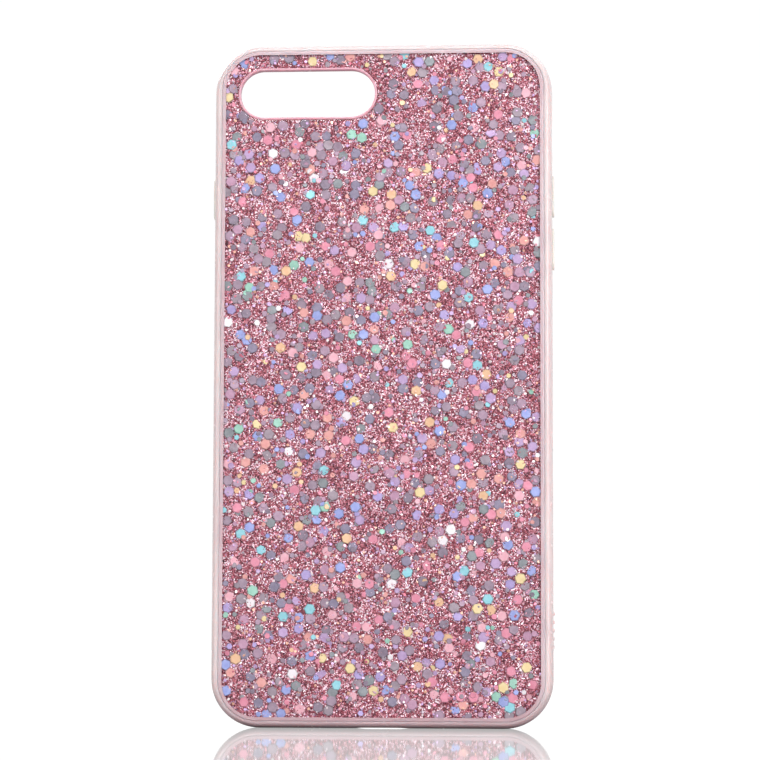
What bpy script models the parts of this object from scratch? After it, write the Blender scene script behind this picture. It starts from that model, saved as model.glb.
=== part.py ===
"""A glitter-backed bumper for a 5.5-inch-class phone, built as the separate pieces it is made of.

The bumper stands upright: X is its width, Z its height and Y its depth, with the glitter back at -Y
and the open screen side at +Y. The origin is at the middle of the bottom end, so the floor is z = 0.
A soft moulded frame grips a hard clear plate by its rim. Behind the plate lie a bonding film, a rose
foil, a bed of fine glitter and a clear resin coat, and a soft collar lines the camera window through
all of them. Three button pads slide in slots of the frame's sides, each inside a thin soft web.
"""

import math

import bmesh
import bpy
from mathutils import Matrix, Vector

MM = 0.001

# The phone that the bumper is made for
PHONE_WIDTH = 77.9 * MM
PHONE_HEIGHT = 158.2 * MM
PHONE_DEPTH = 7.3 * MM
PHONE_CORNER = 10.1 * MM

# The frame's walls round the phone
SIDE_WALL = 1.15 * MM
END_WALL = 1.7 * MM
WIDTH = PHONE_WIDTH + 2 * SIDE_WALL
HEIGHT = PHONE_HEIGHT + 2 * END_WALL
DEPTH = 10.0 * MM
OUTER_CORNER = 11.4 * MM
BACK = -DEPTH / 2
FRONT = DEPTH / 2

# The layers of the back, from the phone outwards, with the bond line left open between them
PLATE = 0.8 * MM
FILM = 0.1 * MM
FOIL = 0.1 * MM
GLITTER = 0.4 * MM
COAT = 0.55 * MM
BOND_LINE = 0.03 * MM
PHONE_BACK = BACK + COAT + GLITTER + FOIL + FILM + PLATE + 4 * BOND_LINE
PHONE_FRONT = PHONE_BACK + PHONE_DEPTH
MIDDLE_OF_PHONE = (PHONE_BACK + PHONE_FRONT) / 2

# The frame's rear border, which leaves the window that the glitter panel fills
SIDE_BORDER = 1.9 * MM
END_BORDER = 1.6 * MM
WINDOW_CORNER = 9.2 * MM
PANEL_GAP = 0.1 * MM
BORDER_STEP = 0.12 * MM

# The plate's rim, which is thinned to a tongue that the frame holds in a groove
RIM_OVERLAP = 0.6 * MM
TONGUE = 0.5 * MM

# The frame's rounded outside, as two quarter ellipses either side of a flat band
REAR_ROUNDING = (1.3 * MM, 4.2 * MM)
FRONT_ROUNDING = (1.6 * MM, 3.1 * MM)
ROUNDING_STEPS = 5

# The lip over the phone's glass, and the phone's own rounded edges
LIP_CLEARANCE = 0.05 * MM
LIP_OVERHANG = 1.0 * MM
LIP_SOFTENING = 0.3 * MM
GLASS_EDGE = (0.9 * MM, 2.0 * MM)
PHONE_BACK_EDGE = (1.5 * MM, 1.9 * MM)
FILLET_HEEL = 0.15 * MM

# The camera window and the collar that lines it
CAMERA_X = -17.8 * MM
CAMERA_Z = 149.7 * MM
CAMERA_HALF_LENGTH = 16.0 * MM
CAMERA_HALF_HEIGHT = 5.65 * MM
COLLAR_WALL = 0.55 * MM
COLLAR_RECESS = 0.04 * MM
COLLAR_SOFTENING = 0.2 * MM
COLLAR_GAP = 0.05 * MM

# The button pads, their slots and the thin webs between
PAD_HALF_LENGTH = 4.95 * MM
PAD_HALF_WIDTH = 1.55 * MM
PAD_PROUD = 0.45 * MM
PAD_INSIDE = 0.4 * MM
PAD_DOME = 0.2 * MM
SLOT_GAP = 0.5 * MM
WEB_THICKNESS = 0.3 * MM
WEB_GAP = 0.04 * MM
VOLUME_UP_Z = 125.3 * MM
VOLUME_DOWN_Z = 112.7 * MM
POWER_Z = 125.3 * MM

# The openings in the walls: half length, half width, corner radius and how far the outer edge flares
MUTE_Z = 139.5 * MM
MUTE_OPENING = (3.8 * MM, 2.3 * MM, 1.6 * MM, 0.7 * MM)
PORT_OPENING = (6.4 * MM, 2.9 * MM, 2.9 * MM, 1.0 * MM)
SOUND_OPENING = (7.2 * MM, 1.7 * MM, 1.7 * MM, 0.5 * MM)
SOUND_X = 19.6 * MM

# The grip ribs low on the right side
RIB_COUNT = 5
RIB_LOWEST_Z = 19.0 * MM
RIB_PITCH = 1.93 * MM
RIB_HALF_LENGTH = 1.9 * MM
RIB_HALF_WIDTH = 0.5 * MM
RIB_PROUD = 0.32 * MM
RIB_ROOT = 0.6 * MM

BEYOND = 3.0 * MM
CORNER_STEPS = 8
BUTTON_CORNER_STEPS = 5
SHARP = math.radians(35)

# Each of these places an outline's (u, v) and a section's depth w in the bumper's own axes.
FACING_BACK = Matrix(((1, 0, 0, 0), (0, 0, 1, 0), (0, 1, 0, 0), (0, 0, 0, 1)))
FACING_SIDE = Matrix(((0, 0, 1, 0), (0, 1, 0, 0), (1, 0, 0, 0), (0, 0, 0, 1)))
FACING_DOWN = Matrix(((1, 0, 0, 0), (0, 1, 0, 0), (0, 0, -1, 0), (0, 0, 0, 1)))


def clear_scene():
    for thing in list(bpy.data.objects):
        bpy.data.objects.remove(thing)


def material(name, colour, roughness, metallic=0.0, alpha=1.0):
    made = bpy.data.materials.new(name)
    made.use_nodes = True
    shader = made.node_tree.nodes["Principled BSDF"]
    shader.inputs["Base Color"].default_value = (*colour, 1.0)
    shader.inputs["Roughness"].default_value = roughness
    shader.inputs["Metallic"].default_value = metallic
    shader.inputs["Alpha"].default_value = alpha
    return made


def rounded_outline(half_u, half_v, radius, steps):
    """A rectangle with round corners, anticlockwise, each corner an arc of the given number of steps."""
    points = []
    for quarter, (side_u, side_v) in enumerate(((1, 1), (-1, 1), (-1, -1), (1, -1))):
        centre = Vector((side_u * (half_u - radius), side_v * (half_v - radius)))
        for step in range(steps + 1):
            angle = math.pi / 2 * (quarter + step / steps)
            points.append(centre + radius * Vector((math.cos(angle), math.sin(angle))))
    return points


def loft(name, sections, facing, steps=CORNER_STEPS, ring=False):
    """A mesh through sections of (half_u, half_v, radius, w): a ring joins its last section to its
    first, and any other shape has its two ends capped."""
    shape = bmesh.new()
    loops = []
    for half_u, half_v, radius, w in sections:
        outline = rounded_outline(half_u, half_v, radius, steps)
        loops.append([shape.verts.new(facing @ Vector((*point, w))) for point in outline])
    pairs = list(zip(loops, loops[1:]))
    if ring:
        pairs.append((loops[-1], loops[0]))
    else:
        shape.faces.new(loops[0])
        shape.faces.new(loops[-1])
    for near, far in pairs:
        for i in range(len(near)):
            before = i - 1
            shape.faces.new((near[before], near[i], far[i], far[before]))
    bmesh.ops.remove_doubles(shape, verts=shape.verts, dist=1e-7)
    bmesh.ops.recalc_face_normals(shape, faces=shape.faces)
    mesh = bpy.data.meshes.new(name)
    shape.to_mesh(mesh)
    shape.free()
    mesh.shade_smooth()
    mesh.set_sharp_from_angle(angle=SHARP)
    return mesh


def place(name, mesh, parent, finish=None, location=(0, 0, 0), turn=0.0):
    made = bpy.data.objects.new(name, mesh)
    bpy.context.scene.collection.objects.link(made)
    made.parent = parent
    made.location = location
    made.rotation_euler = (0, 0, turn)
    if finish:
        mesh.materials.append(finish)
    return made


def helper(name, mesh, parent, location=(0, 0, 0), turn=0.0):
    """A cutter or a shape to be joined, which isn't a part of the object itself."""
    made = place(name, mesh, parent, None, location, turn)
    made.hide_render = True
    made.display_type = "WIRE"
    return made


def boolean(target, other, operation):
    modifier = target.modifiers.new(f"{operation.lower()} {other.name}", "BOOLEAN")
    modifier.operation = operation
    modifier.solver = "EXACT"
    modifier.object = other


def rounding(outline, size, steps, band_y, towards):
    """Sections along a quarter ellipse, from a flat band at band_y towards the front (1) or back (-1)."""
    reach_in, reach_deep = size
    for step in range(steps + 1):
        angle = math.pi / 2 * step / steps
        yield outline(reach_in * (1 - math.cos(angle)), band_y + towards * reach_deep * math.sin(angle))


def outside(inset, y):
    return WIDTH / 2 - inset, HEIGHT / 2 - inset, OUTER_CORNER - inset, y


def window(inset, y):
    return WIDTH / 2 - SIDE_BORDER - inset, HEIGHT / 2 - END_BORDER - inset, WINDOW_CORNER - inset, y


def rim(inset, y):
    half_width, half_height, radius, _ = window(0, 0)
    grow = RIM_OVERLAP - inset
    return half_width + grow, half_height + grow, radius + grow, y


def phone(inset, y):
    return PHONE_WIDTH / 2 - inset, PHONE_HEIGHT / 2 - inset, PHONE_CORNER - inset, y


def frame_sections():
    """Round the frame's wall: its rear border, outside, front lip, phone bay and plate groove."""
    border_back = BACK + BORDER_STEP
    lip_under = PHONE_FRONT + LIP_CLEARANCE
    heel = PHONE_BACK + FILLET_HEEL
    groove_back = PHONE_BACK - PLATE - BOND_LINE
    groove_front = PHONE_BACK - PLATE + TONGUE + BOND_LINE
    rear = list(rounding(outside, REAR_ROUNDING, ROUNDING_STEPS, border_back + REAR_ROUNDING[1], -1))
    front = list(rounding(outside, FRONT_ROUNDING, ROUNDING_STEPS, FRONT - FRONT_ROUNDING[1], 1))
    glass = list(rounding(phone, GLASS_EDGE, 3, lip_under - GLASS_EDGE[1], 1))
    phone_back_edge = list(rounding(phone, PHONE_BACK_EDGE, 4, heel + PHONE_BACK_EDGE[1], -1))
    return [
        window(0, border_back + BORDER_STEP),
        window(-BORDER_STEP, border_back),
        *reversed(rear),
        *front,
        phone(LIP_OVERHANG - LIP_SOFTENING, FRONT),
        phone(LIP_OVERHANG, FRONT - LIP_SOFTENING),
        phone(LIP_OVERHANG, lip_under),
        *reversed(glass),
        *phone_back_edge,
        phone(PHONE_BACK_EDGE[0], groove_front),
        rim(-BOND_LINE, groove_front),
        rim(-BOND_LINE, groove_back),
        window(0, groove_back),
    ]


def flared_cutter(name, opening, facing, inner, outer):
    """A cutter for an opening whose outer edge flares, reaching well past both faces of the wall."""
    half_length, half_width, radius, flare = opening
    narrow = (half_length, half_width, radius)
    wide = (half_length + flare, half_width + flare, radius + flare)
    depths = ((narrow, inner - BEYOND), (narrow, outer - flare), (wide, outer), (wide, outer + BEYOND))
    return loft(name, [(*outline, w) for outline, w in depths], facing, BUTTON_CORNER_STEPS)


def make_frame(parent, finish):
    frame = place("bumper_frame", loft("bumper_frame", frame_sections(), FACING_BACK, ring=True), parent,
                  finish, (0, 0, HEIGHT / 2))
    wall_inner, wall_outer = PHONE_WIDTH / 2, WIDTH / 2
    half_u, half_v = PAD_HALF_LENGTH + SLOT_GAP, PAD_HALF_WIDTH + SLOT_GAP
    slot_sections = [(half_u, half_v, half_v, w) for w in (wall_inner - BEYOND, wall_outer + BEYOND)]
    slot = loft("button_slot", slot_sections, FACING_SIDE, BUTTON_CORNER_STEPS)
    cutters = [
        helper(f"{name}_slot_cutter", slot, parent, (0, MIDDLE_OF_PHONE, z), turn)
        for name, z, turn in BUTTONS
    ]
    mute = flared_cutter("mute_cutter", MUTE_OPENING, FACING_SIDE, wall_inner, wall_outer)
    cutters.append(helper("mute_cutter", mute, parent, (0, MIDDLE_OF_PHONE, MUTE_Z)))
    port = flared_cutter("port_cutter", PORT_OPENING, FACING_DOWN, -END_WALL, 0)
    cutters.append(helper("port_cutter", port, parent, (0, MIDDLE_OF_PHONE, 0)))
    sound = flared_cutter("sound_cutter", SOUND_OPENING, FACING_DOWN, -END_WALL, 0)
    for side in (-1, 1):
        cutters.append(helper(f"sound_cutter_{side}", sound, parent, (side * SOUND_X, MIDDLE_OF_PHONE, 0)))
    for cutter in cutters:
        boolean(frame, cutter, "DIFFERENCE")
    rounded_end = RIB_HALF_WIDTH / 2
    rib_sections = [
        (RIB_HALF_WIDTH, RIB_HALF_LENGTH, RIB_HALF_WIDTH, wall_outer - RIB_ROOT),
        (RIB_HALF_WIDTH, RIB_HALF_LENGTH, RIB_HALF_WIDTH, wall_outer + RIB_PROUD / 2),
        (rounded_end, RIB_HALF_LENGTH - rounded_end, rounded_end, wall_outer + RIB_PROUD),
    ]
    rib = loft("grip_rib", rib_sections, FACING_SIDE, 3)
    for number in range(RIB_COUNT):
        at = (0, MIDDLE_OF_PHONE, RIB_LOWEST_Z + number * RIB_PITCH)
        boolean(frame, helper(f"grip_rib_{number}", rib, parent, at), "UNION")
    return frame


def make_layers(parent, finishes):
    """The plate, film, foil, glitter bed and clear coat, each with the camera window cut through it."""
    half_length = CAMERA_HALF_LENGTH + COLLAR_WALL + COLLAR_GAP
    half_height = CAMERA_HALF_HEIGHT + COLLAR_WALL + COLLAR_GAP
    hole_sections = [(half_length, half_height, half_height, y) for y in (BACK - BEYOND, FRONT)]
    hole = helper("camera_cutter", loft("camera_cutter", hole_sections, FACING_BACK), parent,
                  (CAMERA_X, 0, CAMERA_Z))
    front = PHONE_BACK - PLATE
    inside_the_heel = PHONE_BACK_EDGE[0] + BOND_LINE
    plate = [
        phone(inside_the_heel, PHONE_BACK),
        phone(inside_the_heel, front + TONGUE),
        rim(0, front + TONGUE),
        rim(0, front),
    ]
    layers = [("back_plate", plate)]
    for name, thickness in (("bonding_film", FILM), ("rose_foil", FOIL), ("glitter_bed", GLITTER)):
        front -= BOND_LINE
        layers.append((name, [window(PANEL_GAP, front), window(PANEL_GAP, front - thickness)]))
        front -= thickness
    front -= BOND_LINE
    softening = COAT / 2
    coat = [
        window(PANEL_GAP, front),
        window(PANEL_GAP, BACK + softening),
        window(PANEL_GAP + softening * (1 - math.sqrt(0.5)), BACK + softening * (1 - math.sqrt(0.5))),
        window(PANEL_GAP + softening, BACK),
    ]
    layers.append(("clear_coat", coat))
    for name, sections in layers:
        layer = place(name, loft(name, sections, FACING_BACK), parent, finishes[name], (0, 0, HEIGHT / 2))
        boolean(layer, hole, "DIFFERENCE")


def make_collar(parent, finish):
    def ring_at(grow, y):
        radius = CAMERA_HALF_HEIGHT + grow
        return CAMERA_HALF_LENGTH + grow, radius, radius, y

    rear = BACK + COLLAR_RECESS
    sections = [
        ring_at(0, PHONE_BACK),
        ring_at(0, rear + COLLAR_SOFTENING),
        ring_at(COLLAR_SOFTENING, rear),
        ring_at(COLLAR_WALL - COLLAR_SOFTENING, rear),
        ring_at(COLLAR_WALL, rear + COLLAR_SOFTENING),
        ring_at(COLLAR_WALL, PHONE_BACK),
    ]
    place("camera_collar", loft("camera_collar", sections, FACING_BACK, ring=True), parent, finish,
          (CAMERA_X, 0, CAMERA_Z))


def make_buttons(parent, finish):
    """Each pad has its origin on its own sliding axis, at the wall's outer face."""
    outer_face = WIDTH / 2
    pad_sections = [
        (PAD_HALF_LENGTH, PAD_HALF_WIDTH, PAD_HALF_WIDTH, PAD_INSIDE - SIDE_WALL),
        (PAD_HALF_LENGTH, PAD_HALF_WIDTH, PAD_HALF_WIDTH, PAD_PROUD - PAD_DOME),
        (PAD_HALF_LENGTH - PAD_DOME / 3, PAD_HALF_WIDTH - PAD_DOME / 3, PAD_HALF_WIDTH - PAD_DOME / 3,
         PAD_PROUD - PAD_DOME / 3),
        (PAD_HALF_LENGTH - PAD_DOME, PAD_HALF_WIDTH - PAD_DOME, PAD_HALF_WIDTH - PAD_DOME, PAD_PROUD),
    ]
    pad = loft("button_pad", pad_sections, FACING_SIDE, BUTTON_CORNER_STEPS)
    pad.materials.append(finish)

    def web_ring(grow, w):
        half_width = PAD_HALF_WIDTH + grow
        return PAD_HALF_LENGTH + grow, half_width, half_width, w

    inner_w = PAD_INSIDE + WEB_GAP - SIDE_WALL
    outer_w = inner_w + WEB_THICKNESS
    near, far = WEB_GAP, SLOT_GAP - WEB_GAP
    corners = ((near, inner_w), (near, outer_w), (far, outer_w), (far, inner_w))
    web_sections = [web_ring(grow, w) for grow, w in corners]
    web = loft("button_web", web_sections, FACING_SIDE, BUTTON_CORNER_STEPS, ring=True)
    web.materials.append(finish)
    for name, z, turn in BUTTONS:
        at = (outer_face * math.cos(turn), MIDDLE_OF_PHONE, z)
        place(f"{name}_button", pad, parent, None, at, turn)
        place(f"{name}_web", web, parent, None, at, turn)


# A button's name, its height and which way it faces: 0 is the right side, pi the left.
BUTTONS = (
    ("volume_up", VOLUME_UP_Z, 0.0),
    ("volume_down", VOLUME_DOWN_Z, 0.0),
    ("power", POWER_Z, math.pi),
)


def main():
    clear_scene()
    origin = bpy.data.objects.new("case_origin", None)
    bpy.context.scene.collection.objects.link(origin)
    soft = material("blush soft rubber", (0.90, 0.74, 0.73), 0.35, alpha=0.85)
    make_frame(origin, soft)
    make_layers(origin, {
        "back_plate": material("clear hard plate", (0.93, 0.90, 0.90), 0.15, alpha=0.4),
        "bonding_film": material("bonding film", (0.92, 0.88, 0.86), 0.3, alpha=0.4),
        "rose_foil": material("rose foil", (0.66, 0.30, 0.37), 0.35, metallic=0.8),
        "glitter_bed": material("fine rose glitter", (0.74, 0.42, 0.47), 0.4, metallic=0.5),
        "clear_coat": material("clear resin", (0.97, 0.95, 0.95), 0.08, alpha=0.25),
    })
    make_collar(origin, soft)
    make_buttons(origin, soft)


main()
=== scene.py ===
# %% [markdown]
# # A glitter phone bumper, standing on a pale floor
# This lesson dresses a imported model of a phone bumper: a soft blush frame round a flat back that is full
# of rose glitter and bright sequins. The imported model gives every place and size, and is loaded first.
# Each step says what a piece is on the real object, how it could be made, and why this way was chosen.

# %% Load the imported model
import math

import bmesh
import bpy
from mathutils import Euler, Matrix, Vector


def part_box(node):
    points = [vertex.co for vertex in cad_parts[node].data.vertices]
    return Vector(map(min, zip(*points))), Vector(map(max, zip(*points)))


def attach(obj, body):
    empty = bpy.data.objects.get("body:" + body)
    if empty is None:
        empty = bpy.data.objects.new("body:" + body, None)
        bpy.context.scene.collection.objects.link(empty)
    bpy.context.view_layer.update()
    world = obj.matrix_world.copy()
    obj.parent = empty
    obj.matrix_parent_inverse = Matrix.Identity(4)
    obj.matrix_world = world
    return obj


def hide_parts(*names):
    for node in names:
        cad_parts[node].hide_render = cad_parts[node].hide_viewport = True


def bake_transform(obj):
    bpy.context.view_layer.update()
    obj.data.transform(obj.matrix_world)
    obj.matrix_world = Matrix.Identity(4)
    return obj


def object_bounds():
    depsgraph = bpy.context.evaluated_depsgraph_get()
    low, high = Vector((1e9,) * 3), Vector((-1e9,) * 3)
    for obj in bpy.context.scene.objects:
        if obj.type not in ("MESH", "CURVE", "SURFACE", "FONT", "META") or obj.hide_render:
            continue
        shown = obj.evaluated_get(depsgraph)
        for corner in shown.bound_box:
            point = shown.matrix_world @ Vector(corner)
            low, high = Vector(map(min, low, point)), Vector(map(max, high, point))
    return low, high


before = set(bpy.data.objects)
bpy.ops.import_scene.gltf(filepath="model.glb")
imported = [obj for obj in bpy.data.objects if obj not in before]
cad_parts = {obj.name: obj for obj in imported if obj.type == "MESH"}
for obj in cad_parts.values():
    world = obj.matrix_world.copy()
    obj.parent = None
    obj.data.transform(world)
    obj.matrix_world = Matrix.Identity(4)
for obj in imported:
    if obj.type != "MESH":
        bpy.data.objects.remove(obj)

MM = 0.001
CAD_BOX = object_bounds()
print("packed box in mm:", [[round(c / MM, 2) for c in corner] for corner in CAD_BOX])

# %% [markdown]
# ## The camera
# The bumper is seen from a little to its right and from low down, through a long lens that keeps its
# sides almost parallel. A camera looks down its own -Z, so a quarter turn about X makes it look along +Y.
# The angles that are added to that quarter turn are small, which is why plain Euler angles do here.

# %% Place the camera
CAMERA_PLACE = Vector((45.6, -650.0, 22.0)) * MM
CAMERA_LENS = 131.0
CAMERA_PITCH = math.radians(5.24)
CAMERA_YAW = math.radians(-4.06)
CAMERA_ROLL = math.radians(0.17)

camera = bpy.data.objects.new("camera", bpy.data.cameras.new("camera"))
bpy.context.scene.collection.objects.link(camera)
camera.data.lens = CAMERA_LENS
camera.data.clip_start = 10 * MM
camera.location = CAMERA_PLACE
camera.rotation_euler = Euler((math.pi / 2 + CAMERA_PITCH, -CAMERA_ROLL, -CAMERA_YAW))
bpy.context.scene.camera = camera

# %% [markdown]
# ## Node trees, written as sums
# Materials and Geometry Nodes are both trees of nodes. Wiring them by hand hides what they work out, so
# one small class stands for a socket and lets Python's own operators add the Math nodes. A second class
# adds any other node from its type, its settings and its inputs. Settings come first, because some of
# them change which sockets the node has.


# %% Socket and Tree
class Socket:
    """An output in a node tree. Arithmetic on it adds Math nodes."""

    def __init__(self, tree, output):
        self.tree = tree
        self.output = output

    def of(self, name):
        """Another output of the same node."""
        return Socket(self.tree, self.output.node.outputs[name])

    def maths(self, operation, first, second):
        return self.tree.add("ShaderNodeMath", {"operation": operation}, {0: first, 1: second})

    def __add__(self, other):
        return self.maths("ADD", self, other)

    __radd__ = __add__

    def __sub__(self, other):
        return self.maths("SUBTRACT", self, other)

    def __rsub__(self, other):
        return self.maths("SUBTRACT", other, self)

    def __mul__(self, other):
        return self.maths("MULTIPLY", self, other)

    __rmul__ = __mul__

    def __pow__(self, other):
        return self.maths("POWER", self, other)

    def __gt__(self, other):
        return self.maths("GREATER_THAN", self, other)

    def __lt__(self, other):
        return self.maths("LESS_THAN", self, other)


class Tree:
    """A node tree that nodes are added to by type, settings and inputs."""

    def __init__(self, nodes_and_links):
        self.nodes = nodes_and_links.nodes
        self.links = nodes_and_links.links
        self.nodes.clear()

    def add(self, kind, settings=None, inputs=None, output=0):
        node = self.nodes.new(kind)
        for name, value in (settings or {}).items():
            if name == "stops":
                self.set_stops(node.color_ramp, value)
            elif name == "interpolation":
                node.color_ramp.interpolation = value
            else:
                setattr(node, name, value)
        for name, value in (inputs or {}).items():
            if isinstance(value, Socket):
                self.links.new(value.output, node.inputs[name])
            else:
                node.inputs[name].default_value = value
        return Socket(self, node.outputs[output]) if len(node.outputs) else None

    @staticmethod
    def set_stops(ramp, stops):
        while len(ramp.elements) < len(stops):
            ramp.elements.new(1.0)
        for element, (place, colour) in zip(ramp.elements, stops):
            element.position = place
            element.color = colour


# %% [markdown]
# ## Paint colours
# People name colours by the 0 to 255 values of a screen, but light adds up on a linear scale, and shaders
# work in that scale. This helper turns one into the other.


# %% A screen colour on the linear scale
def paint(red, green, blue, alpha=1.0):
    def linear(level):
        level /= 255
        return level / 12.92 if level <= 0.04045 else ((level + 0.055) / 1.055) ** 2.4

    return (linear(red), linear(green), linear(blue), alpha)


def grey(level):
    """A grey that is already on the linear scale."""
    return (level, level, level, 1)


WHITE = grey(1)


# %% [markdown]
# ## Finishes
# A material starts as an empty tree and ends in an output node. These helpers make both, and one more
# makes the simplest finish of all: one colour, one gloss.


# %% Start and end of a finish
def new_finish(name):
    """A new material and its empty tree."""
    finish = bpy.data.materials.new(name)
    finish.use_nodes = True
    return finish, Tree(finish.node_tree)


def show(tree, surface):
    tree.add("ShaderNodeOutputMaterial", inputs={"Surface": surface})


def plain_finish(name, colour, metallic, roughness):
    """A finish for things too small to show any pattern of their own."""
    finish, tree = new_finish(name)
    show(tree, tree.add("ShaderNodeBsdfPrincipled", inputs={
        "Base Color": paint(*colour), "Metallic": metallic, "Roughness": roughness,
    }))
    return finish


# %% [markdown]
# ## The studio
# The bumper stands on white gloss board in front of a white wall, and board and wall blend. A board that is
# lit to pure white shows as a plain white light, which a mirror is mixed into for its gloss. Gloss board
# mirrors most when it is looked along, so the mirror's share drops where the surface turns to face the eye.
# It also fades out well away from the bumper, where the plain light meets the white world without an edge.
# Light that the board throws up at the bumper is only that of a matt white, which leaves the bumper's
# underside in shade. The world is white to the eye, bright behind the bumper and darker in front, where
# soft lamps stand: glitter is made of tiny mirrors, and mirrors need something bright and something dark
# to show. One more lamp stands behind, so that the open screen side isn't left dark.

# %% Floor, world and lamps
FLOOR_SIZE = 6.0
FLOOR_MIRROR_ALONG = 0.64
FLOOR_MIRROR_FACING = 0.25
LOOKED_ALONG = 0.955
TURNED_TO_FACE = 0.90
MIRROR_WHOLE = 0.25
MIRROR_ENDS = 0.60
FLOOR_BLUR = 0.03
FLOOR_LIGHT = 1.16
WHITE_FROM = 0.3
FLOOR_BOUNCE = 0.35
WORLD_WHITE = 1.02
WORLD_BEHIND = 0.55
WORLD_IN_FRONT = 0.5


def make_floor():
    mesh = bpy.data.meshes.new("floor")
    shape = bmesh.new()
    bmesh.ops.create_grid(shape, size=FLOOR_SIZE / 2)
    shape.to_mesh(mesh)
    shape.free()
    floor = bpy.data.objects.new("floor", mesh)
    bpy.context.scene.collection.objects.link(floor)
    finish, tree = new_finish("white gloss board")
    lit = tree.add("ShaderNodeEmission", inputs={"Color": WHITE, "Strength": FLOOR_LIGHT})
    mirror = tree.add("ShaderNodeBsdfGlossy", inputs={"Color": WHITE, "Roughness": FLOOR_BLUR})
    turned = tree.add("ShaderNodeLayerWeight", inputs={"Blend": 0.5}, output="Facing")
    share = tree.add("ShaderNodeMapRange", inputs={
        "Value": turned, "From Min": TURNED_TO_FACE, "From Max": LOOKED_ALONG,
        "To Min": FLOOR_MIRROR_FACING, "To Max": FLOOR_MIRROR_ALONG,
    })
    place = tree.add("ShaderNodeTexCoord", output="Object")
    away = tree.add("ShaderNodeVectorMath", {"operation": "LENGTH"}, {0: place}, output="Value")
    near = tree.add("ShaderNodeMapRange", inputs={
        "Value": away, "From Min": MIRROR_ENDS, "From Max": MIRROR_WHOLE,
    })
    gloss = tree.add("ShaderNodeMixShader", inputs={0: share * near, 1: lit, 2: mirror})
    matt = tree.add("ShaderNodeBsdfDiffuse", inputs={"Color": grey(FLOOR_BOUNCE)})
    by_eye = tree.add("ShaderNodeLightPath", output="Is Camera Ray")
    show(tree, tree.add("ShaderNodeMixShader", inputs={0: by_eye, 1: matt, 2: gloss}))
    mesh.materials.append(finish)


def make_world():
    world = bpy.data.worlds.new("studio")
    world.use_nodes = True
    bpy.context.scene.world = world
    tree = Tree(world.node_tree)
    direction = tree.add("ShaderNodeTexCoord", output="Generated")
    depth = tree.add("ShaderNodeSeparateXYZ", inputs={0: direction}, output="Y")
    around = tree.add("ShaderNodeValToRGB", {
        "stops": [(0.38, grey(WORLD_IN_FRONT)), (0.56, grey(WORLD_BEHIND))],
    }, {0: depth * 0.5 + 0.5})
    seen = tree.add("ShaderNodeBackground", inputs={"Color": grey(WORLD_WHITE)})
    lighting = tree.add("ShaderNodeBackground", inputs={"Color": around})
    path = tree.add("ShaderNodeLightPath", output="Is Camera Ray")
    in_mirror = path.of("Is Glossy Ray") * (depth > WHITE_FROM)
    mixed = tree.add("ShaderNodeMixShader", inputs={0: path + in_mirror, 1: lighting, 2: seen})
    tree.add("ShaderNodeOutputWorld", inputs={"Surface": mixed})


def make_lamp(name, place, size, power):
    lamp = bpy.data.objects.new(name, bpy.data.lights.new(name, "AREA"))
    bpy.context.scene.collection.objects.link(lamp)
    lamp.data.shape = "RECTANGLE"
    lamp.data.size, lamp.data.size_y = size
    lamp.data.energy = power
    lamp.location = place
    middle = Vector((0, 0, CAD_BOX[1].z / 2))
    lamp.rotation_euler = (middle - Vector(place)).to_track_quat("-Z", "Y").to_euler()


make_floor()
make_world()
make_lamp("right softbox", (0.90, -0.90, 0.20), (0.40, 0.60), 11.5)
make_lamp("left softbox", (-0.90, -0.95, 0.20), (0.30, 0.60), 3.6)
make_lamp("overhead softbox", (0.0, -0.40, 1.20), (0.80, 0.50), 4.2)
make_lamp("high front softbox", (-0.05, -1.30, 1.00), (0.60, 0.25), 7.0)
make_lamp("screen side softbox", (-0.70, 1.10, 0.90), (0.50, 0.50), 9.0)
bpy.context.scene.view_settings.view_transform = "Standard"

# %% [markdown]
# ## Sizes
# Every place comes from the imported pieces' own boxes. Only the shape of the frame's wall is stated again,
# because a box doesn't tell where a rounding starts.

# %% Read the boxes and state the wall's shape
FRAME_LOW, FRAME_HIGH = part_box("bumper_frame")
PLATE_LOW, PLATE_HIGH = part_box("back_plate")
COAT_LOW, COAT_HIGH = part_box("clear_coat")
COLLAR_LOW, COLLAR_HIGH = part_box("camera_collar")
HALF_WIDTH = -FRAME_LOW.x
HALF_HEIGHT = FRAME_HIGH.z / 2
BORDER_BACK, FRONT = FRAME_LOW.y, FRAME_HIGH.y
PHONE_BACK = PLATE_HIGH.y
PHONE_DEPTH = 7.3 * MM
MIDDLE_DEPTH = PHONE_BACK + PHONE_DEPTH / 2
SIDE_WALL = 1.15 * MM
END_WALL = 1.7 * MM
OUTER_CORNER = 11.4 * MM
PHONE_CORNER = 10.1 * MM
PANEL_GAP = 0.1 * MM
PANEL_HALF_WIDTH = COAT_HIGH.x
PANEL_HALF_HEIGHT = (COAT_HIGH.z - COAT_LOW.z) / 2
PANEL_CORNER = 9.1 * MM
print("panel in mm:", round(2 * PANEL_HALF_WIDTH / MM, 2), "x", round(2 * PANEL_HALF_HEIGHT / MM, 2))

# %% [markdown]
# ## Lofting through rounded outlines
# Every moulded piece here is an outline with round corners that changes as it goes deeper: the frame, the
# clear coat, the collar and the buttons. A loft joins one outline to the next with a band of four-sided
# faces. The outlines are all sampled the same way, so the bands never twist. The straight stretches are
# cut up too, so that a hole cut later only disturbs the faces close to it. Pill-shaped pieces stay a hair
# short of full half circles, which keeps the two ends of each one apart.

# %% Loft
CORNER_STEPS = 18
STRAIGHT_STEP = 2.5 * MM
FINE = {"corner_steps": 10, "step": 1.0 * MM}
ALMOST_ROUND = 0.999
SHARP = math.radians(38)


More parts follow.
